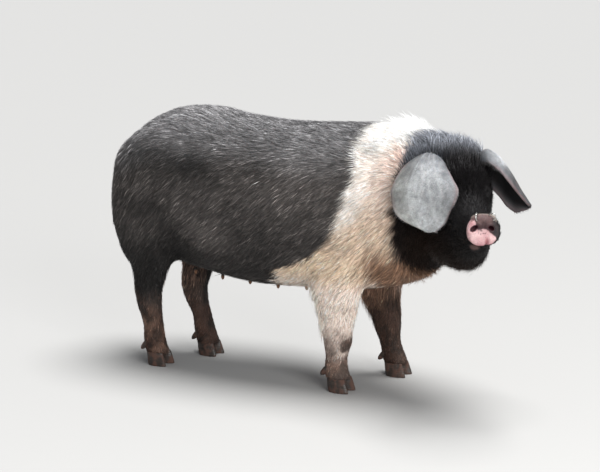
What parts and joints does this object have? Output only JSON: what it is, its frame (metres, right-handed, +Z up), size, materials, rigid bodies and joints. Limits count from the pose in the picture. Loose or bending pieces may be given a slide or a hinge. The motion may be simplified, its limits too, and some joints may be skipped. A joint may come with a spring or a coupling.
{
  "type": "bazna pig",
  "caption": "Life-size still figure of a belted, lop-eared pig, standing with its head turned to its right, with wire rings in its snout.",
  "frame": {"origin": "on the floor, at the middle of the whole box", "axes": "+X the way the body faces, +Y to the pig's left, +Z up"},
  "size_m": [1.3675, 0.5443, 0.7836],
  "materials": {
    "slate_hair": "slate-black bristles over dark skin",
    "pale_skin": "white to tan-pink bristles over pink skin",
    "muddy_hair": "short hair, brown with dried mud",
    "ear_skin": "thin grey skin with short pale hair",
    "snout_skin": "bare pink skin with dark mottling, a little moist",
    "claw_horn": "dark horn, dusty",
    "eye_dark": "wet and glossy",
    "ring_wire": "bright wire"
  },
  "bodies": {
    "root": {"torso": "slate_hair", "neck": "pale_skin", "head": "slate_hair", "jaw": "slate_hair", "snout": "snout_skin", "ear_right": "ear_skin", "ear_left": "ear_skin", "eye_right": "eye_dark", "eye_left": "eye_dark", "nose_ring_right": "ring_wire", "nose_ring_left": "ring_wire", "tail": "slate_hair", "front_claw_left_left": "claw_horn", "front_claw_left_right": "claw_horn", "front_claw_right_left": "claw_horn", "front_claw_right_right": "claw_horn", "front_dewclaw_left_left": "claw_horn", "front_dewclaw_left_right": "claw_horn", "front_dewclaw_right_left": "claw_horn", "front_dewclaw_right_right": "claw_horn", "front_leg_left": "muddy_hair", "front_leg_right": "muddy_hair", "ham_left": "slate_hair", "ham_right": "slate_hair", "hind_claw_left_left": "claw_horn", "hind_claw_left_right": "claw_horn", "hind_claw_right_left": "claw_horn", "hind_claw_right_right": "claw_horn", "hind_dewclaw_left_left": "claw_horn", "hind_dewclaw_left_right": "claw_horn", "hind_dewclaw_right_left": "claw_horn", "hind_dewclaw_right_right": "claw_horn", "hind_leg_left": "muddy_hair", "hind_leg_right": "muddy_hair", "shoulder_left": "pale_skin", "shoulder_right": "pale_skin"}
  },
  "joints": []
}
